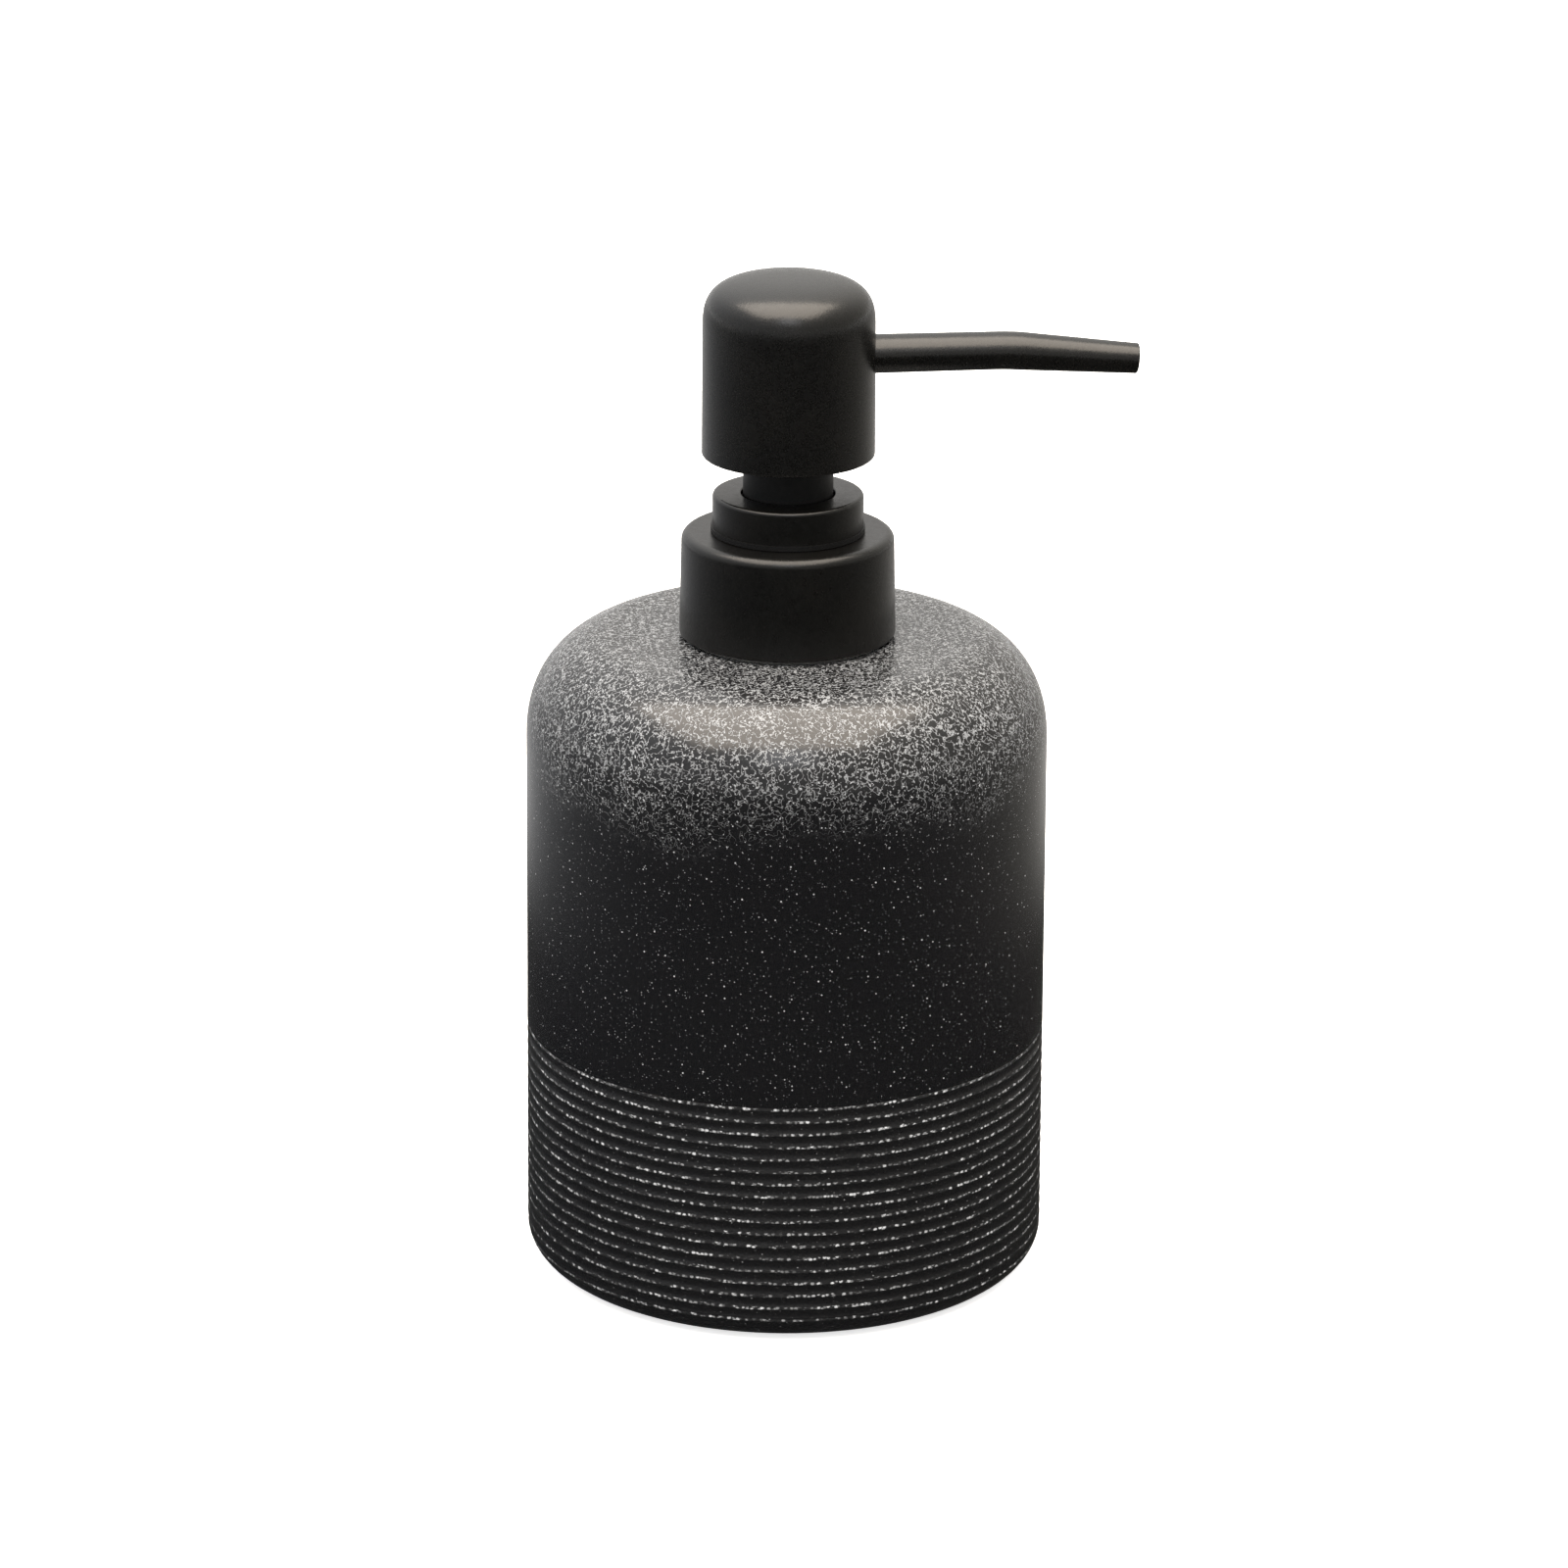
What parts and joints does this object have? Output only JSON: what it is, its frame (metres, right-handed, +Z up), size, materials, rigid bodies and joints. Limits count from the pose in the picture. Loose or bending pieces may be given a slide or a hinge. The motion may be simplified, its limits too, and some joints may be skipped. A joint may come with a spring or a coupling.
{
  "type": "soap pump dispenser",
  "caption": "Free-standing cylindrical soap dispenser with a domed shoulder, a grooved foot, a screw-on lotion pump and a long thin bent spout.",
  "frame": {"origin": "centre of the base pad's underside, on the resting plane", "axes": "+Z up along the bottle's and pump's common axis; +X towards the spout at rest"},
  "size_m": [0.0874, 0.0752, 0.1465],
  "materials": {
    "resin": "satin",
    "black_paint": "matte",
    "black_plastic": "matte",
    "white_plastic": "satin",
    "clear_tube": "gloss",
    "seal": "matte",
    "foam": "matte",
    "spring_steel": "polished",
    "ball": "gloss"
  },
  "bodies": {
    "bottle": {"bottle": "resin", "neck_insert": "white_plastic", "base_pad": "foam"},
    "pump": {"chaplet": "black_plastic", "collar_ring": "black_paint", "outer_gasket": "seal", "stem_seal": "seal", "housing": "white_plastic", "dip_tube": "clear_tube", "return_spring": "spring_steel", "ball_retainer": "white_plastic"},
    "closure": {"closure_shell": "black_paint", "closure_liner": "black_plastic"},
    "piston": {"piston": "seal"},
    "actuator": {"head_shell": "black_paint", "head_core": "black_plastic", "spout": "black_paint", "piston_stem": "white_plastic", "piston_plug": "white_plastic"},
    "check_ball": {"check_ball": "ball"}
  },
  "joints": [
    {"name": "pump_lift", "type": "slide", "parent": "bottle", "child": "pump", "axis": [0, 0, 1], "range_m": [0, 0.00531]},
    {"name": "closure_turn", "type": "hinge", "parent": "pump", "child": "closure", "pos_m": [0, 0, 0.1], "axis": [0, 0, 1], "range_deg": [0, 450]},
    {"name": "pump_press", "type": "slide", "parent": "pump", "child": "piston", "axis": [0, 0, -1], "range_m": [0, 0.0105], "stiffness_N_per_m": 450, "springref_m": -0.007, "deforming": ["return_spring"]},
    {"name": "head_turn", "type": "hinge", "parent": "piston", "child": "actuator", "pos_m": [0, 0, 0.13], "axis": [0, 0, 1], "continuous": true},
    {"name": "ball_lift", "type": "slide", "parent": "pump", "child": "check_ball", "axis": [0, 0, 1], "range_m": [0, 0.0015]}
  ],
  "couplings": [
    {"joint": "pump_lift", "follows": "closure_turn", "m_per_rad": 0.00067376}
  ]
}
